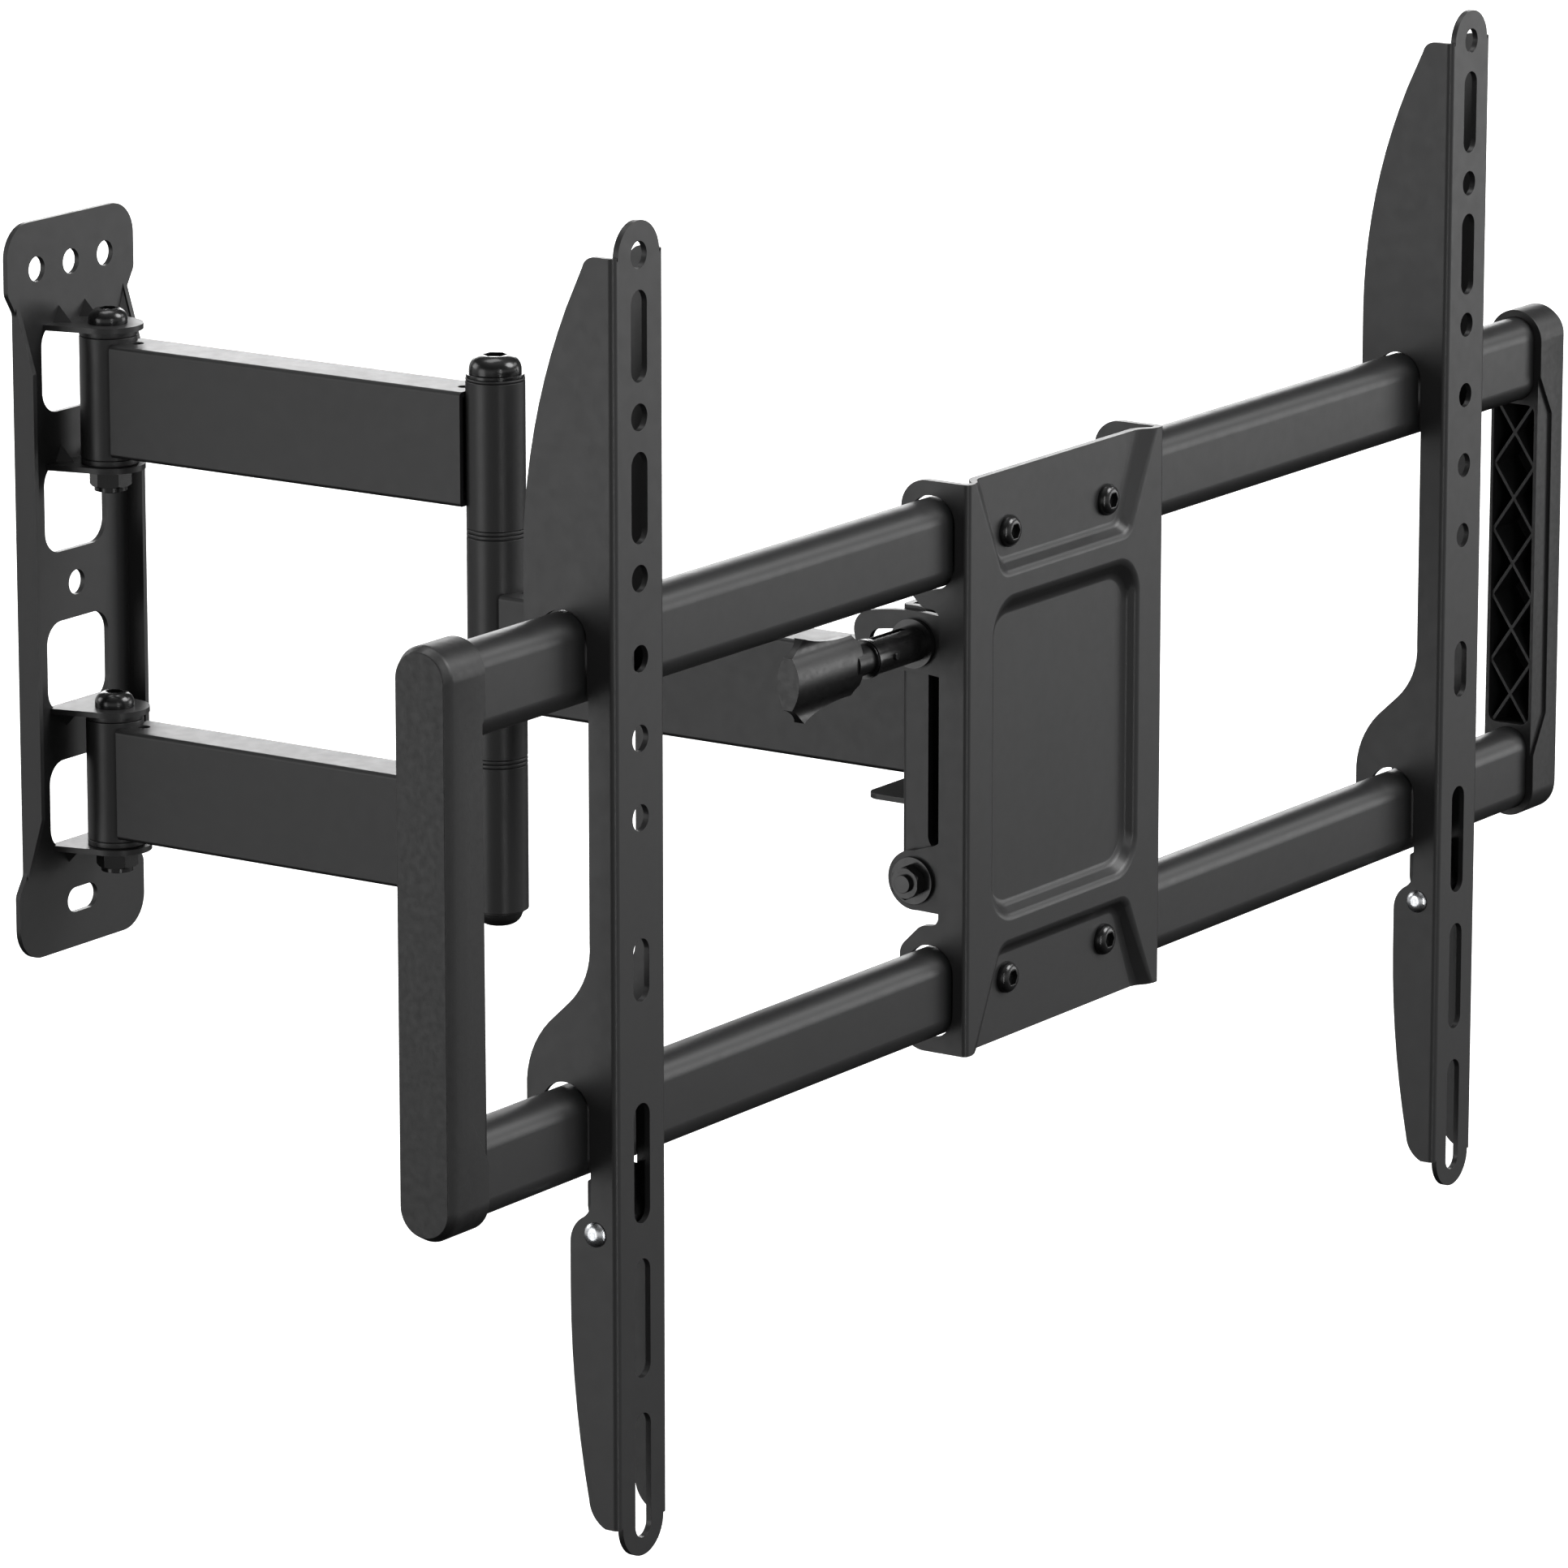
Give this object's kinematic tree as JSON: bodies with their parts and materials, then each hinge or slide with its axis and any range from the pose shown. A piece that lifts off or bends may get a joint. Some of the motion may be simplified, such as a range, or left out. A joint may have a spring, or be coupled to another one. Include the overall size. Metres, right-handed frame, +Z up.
{
  "type": "full motion tv wall mount",
  "caption": "Articulated wall mount for a flat screen: wall plate, swivelling double arm, tilting head with lock knob, and sliding uprights on horizontal rails.",
  "frame": {"origin": "middle of the wall plate's back face, on the axis of its middle screw hole", "axes": "+X to the right of a viewer who faces the wall, +Y into the wall, +Z up; the arms stand straight out along -Y"},
  "size_m": [0.68, 0.4215, 0.4226],
  "materials": {
    "powder_coat": "fine textured matte black powder coat",
    "black_fastener": "semi-gloss black plating on steel",
    "bush_plastic": "dull black nylon",
    "cap_plastic": "fine grained matte black moulding",
    "grip_plastic": "satin black moulding",
    "latch_plastic": "matte black nylon",
    "zinc_rivet": "bright zinc plated"
  },
  "bodies": {
    "wall_bracket": {"wall_plate": "powder_coat", "wall_hinge_bolts": "black_fastener", "wall_hinge_nuts": "black_fastener"},
    "rear_arm": {"rear_tube_upper": "powder_coat", "rear_tube_lower": "powder_coat", "wall_barrel_upper": "powder_coat", "wall_barrel_lower": "powder_coat", "elbow_barrel_upper": "powder_coat", "elbow_barrel_lower": "powder_coat", "wall_bushes_upper": "bush_plastic", "wall_bushes_lower": "bush_plastic", "rear_elbow_bushes": "bush_plastic", "elbow_washer": "black_fastener", "elbow_bolt": "black_fastener", "elbow_cap_nut": "cap_plastic"},
    "forearm": {"forearm_tube": "powder_coat", "forearm_elbow_barrel": "powder_coat", "forearm_head_barrel": "powder_coat", "forearm_elbow_bushes": "bush_plastic", "forearm_head_bushes": "bush_plastic"},
    "swivel_head": {"swivel_bracket": "powder_coat", "hinge_yoke": "powder_coat", "head_washers": "black_fastener", "head_bolt": "black_fastener", "head_nut": "black_fastener", "pivot_studs": "black_fastener", "guide_stud": "black_fastener", "tilt_washers": "black_fastener", "tilt_nuts": "black_fastener", "lock_clinch_nut": "black_fastener"},
    "lock_knob": {"knob_stud": "black_fastener", "knob_sleeve": "black_fastener", "knob_cross_pin": "black_fastener", "knob_grip": "grip_plastic"},
    "tilt_frame": {"tilt_bracket": "powder_coat", "front_plate": "powder_coat", "plate_screws": "black_fastener", "rail_insert_nuts": "black_fastener", "rail_upper": "powder_coat", "rail_lower": "powder_coat", "end_cap_left": "cap_plastic", "end_cap_right": "cap_plastic"},
    "left_upright": {"upright_left": "powder_coat", "latch_rivet_left": "zinc_rivet"},
    "right_upright": {"upright_right": "powder_coat", "latch_rivet_right": "zinc_rivet"},
    "left_latch": {"latch_left": "latch_plastic"},
    "right_latch": {"latch_right": "latch_plastic"}
  },
  "joints": [
    {"name": "wall_swivel", "type": "hinge", "parent": "wall_bracket", "child": "rear_arm", "pos_m": [0, -0.018, 0], "axis": [0, 0, 1], "range_deg": [-85, 85]},
    {"name": "elbow_swivel", "type": "hinge", "parent": "rear_arm", "child": "forearm", "pos_m": [0, -0.1855, 0], "axis": [0, 0, -1], "range_deg": [-155, 155]},
    {"name": "head_swivel", "type": "hinge", "parent": "forearm", "child": "swivel_head", "pos_m": [0, -0.3715, 0], "axis": [0, 0, 1], "range_deg": [-90, 90]},
    {"name": "tilt", "type": "hinge", "parent": "swivel_head", "child": "tilt_frame", "pos_m": [0, -0.3942, -0.0417], "axis": [1, 0, 0], "range_deg": [-2, 9.5]},
    {"name": "lock_knob_turn", "type": "hinge", "parent": "swivel_head", "child": "lock_knob", "pos_m": [-0.0575, -0.3942, 0.0378], "axis": [1, 0, 0], "continuous": true},
    {"name": "left_upright_slide", "type": "slide", "parent": "tilt_frame", "child": "left_upright", "axis": [-1, 0, 0], "range_m": [-0.102, 0.054]},
    {"name": "right_upright_slide", "type": "slide", "parent": "tilt_frame", "child": "right_upright", "axis": [1, 0, 0], "range_m": [-0.152, 0.054]},
    {"name": "left_latch_turn", "type": "hinge", "parent": "left_upright", "child": "left_latch", "pos_m": [-0.252, -0.4132, -0.1086], "axis": [1, 0, 0], "range_deg": [0, 18]},
    {"name": "right_latch_turn", "type": "hinge", "parent": "right_upright", "child": "right_latch", "pos_m": [0.252, -0.4132, -0.1086], "axis": [1, 0, 0], "range_deg": [0, 18]}
  ]
}
